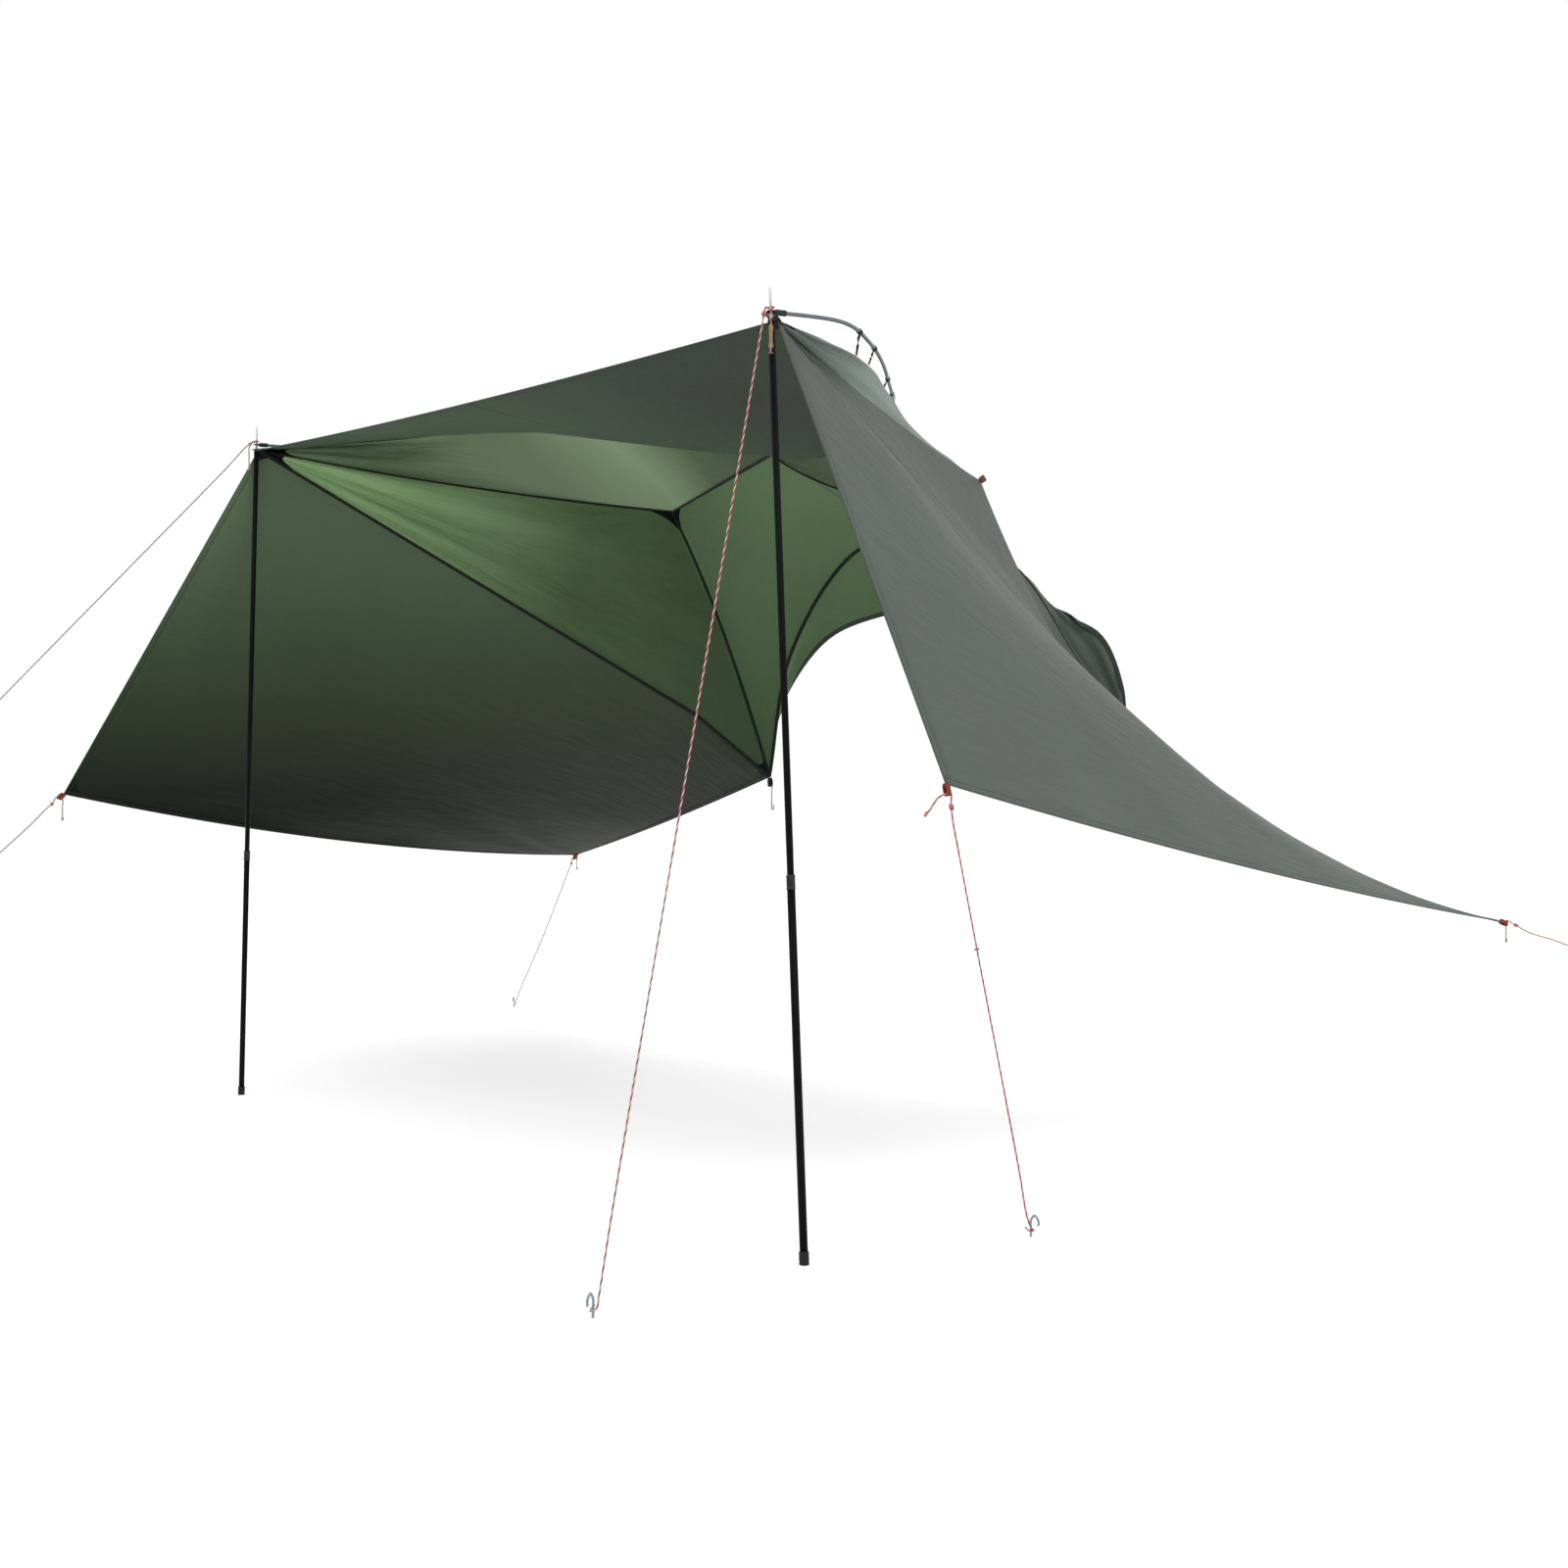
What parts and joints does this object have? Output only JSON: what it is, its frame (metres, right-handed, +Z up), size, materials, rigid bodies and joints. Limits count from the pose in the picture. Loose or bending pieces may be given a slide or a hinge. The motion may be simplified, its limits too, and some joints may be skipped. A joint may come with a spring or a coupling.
{
  "type": "car tent",
  "caption": "Open-fronted tailgate tent: green sewn canopy with two side wings, telescoping steel poles, a bowed rod over the roof, a rear tunnel sleeve, guy ropes and pegs",
  "frame": {"origin": "the middle of the flat bottom of the right pole's foot, on the ground", "axes": "+Z is up. -X runs from the right pole's foot to the left pole's foot. +Y runs from the poles back to the tunnel sleeve and the wing tips."},
  "size_m": [5.9809, 5.0377, 2.8012],
  "materials": {
    "roof_cloth": "matte",
    "side_cloth": "matte",
    "wing_cloth": "matte",
    "pole_paint": "satin",
    "rod_metal": "satin",
    "pin_metal": "polished",
    "black_plastic": "matte",
    "foot_rubber": "matte",
    "black_webbing": "matte",
    "red_webbing": "matte",
    "red_rope": "matte",
    "pale_rope": "matte",
    "orange_rope": "matte",
    "runner_plastic": "satin",
    "peg_steel": "satin"
  },
  "bodies": {
    "root": {"roof_centre_panel": "roof_cloth", "roof_left_panel": "side_cloth", "roof_right_panel": "side_cloth", "side_left_panel": "side_cloth", "side_right_panel": "side_cloth", "wing_left": "wing_cloth", "wing_right": "wing_cloth", "rear_panel": "side_cloth", "tunnel_sleeve": "side_cloth", "right_lower_tube": "pole_paint", "right_lock_collar": "black_plastic", "right_foot": "foot_rubber", "left_lower_tube": "pole_paint", "left_lock_collar": "black_plastic", "left_foot": "foot_rubber", "right_corner_tab": "black_webbing", "left_corner_tab": "black_webbing", "rod_section_1": "rod_metal", "rod_section_2": "rod_metal", "rod_section_3": "rod_metal", "rod_section_4": "rod_metal", "rod_ferrule_1": "rod_metal", "rod_ferrule_2": "rod_metal", "rod_ferrule_3": "rod_metal", "right_rod_socket": "black_plastic", "left_rod_socket": "black_plastic", "roof_clip_1": "black_webbing", "roof_clip_2": "black_webbing", "roof_clip_3": "black_webbing", "roof_clip_4": "black_webbing", "roof_clip_5": "black_webbing", "roof_clip_6": "black_webbing", "roof_clip_7": "black_webbing", "front_right_loop": "red_webbing", "front_left_loop": "red_webbing", "wing_right_loop": "red_webbing", "wing_left_loop": "red_webbing", "back_left_loop": "black_webbing", "crown_left_loop": "red_webbing", "crown_right_loop": "red_webbing", "right_top_guy": "pale_rope", "left_top_guy": "pale_rope", "front_right_guy": "red_rope", "front_left_guy": "pale_rope", "wing_right_guy": "orange_rope", "wing_left_guy": "pale_rope", "hook_line": "red_rope", "right_top_peg": "peg_steel", "front_right_peg": "peg_steel", "wing_left_peg": "peg_steel", "line_hook": "red_webbing"},
    "right_upper": {"right_upper_tube": "pole_paint", "right_top_plug": "black_plastic", "right_pin": "pin_metal"},
    "left_upper": {"left_upper_tube": "pole_paint", "left_top_plug": "black_plastic", "left_pin": "pin_metal"},
    "guy_runner": {"front_runner": "runner_plastic"},
    "loose_runner": {"tail_runner": "runner_plastic"}
  },
  "joints": [
    {"name": "right_pole_slide", "type": "slide", "parent": "root", "child": "right_upper", "axis": [-0.0789, 0.0197, 0.9967], "range_m": [-0.65, 0]},
    {"name": "left_pole_slide", "type": "slide", "parent": "root", "child": "left_upper", "axis": [0.0959, -0.0165, 0.9953], "range_m": [-0.65, 0]},
    {"name": "guy_runner_slide", "type": "slide", "parent": "root", "child": "guy_runner", "axis": [0.1828, 0.0799, -0.9799], "range_m": [-0.2, 0.2]},
    {"name": "loose_runner_slide", "type": "slide", "parent": "root", "child": "loose_runner", "axis": [0, 0, 1], "range_m": [-0.01, 0.02]}
  ]
}
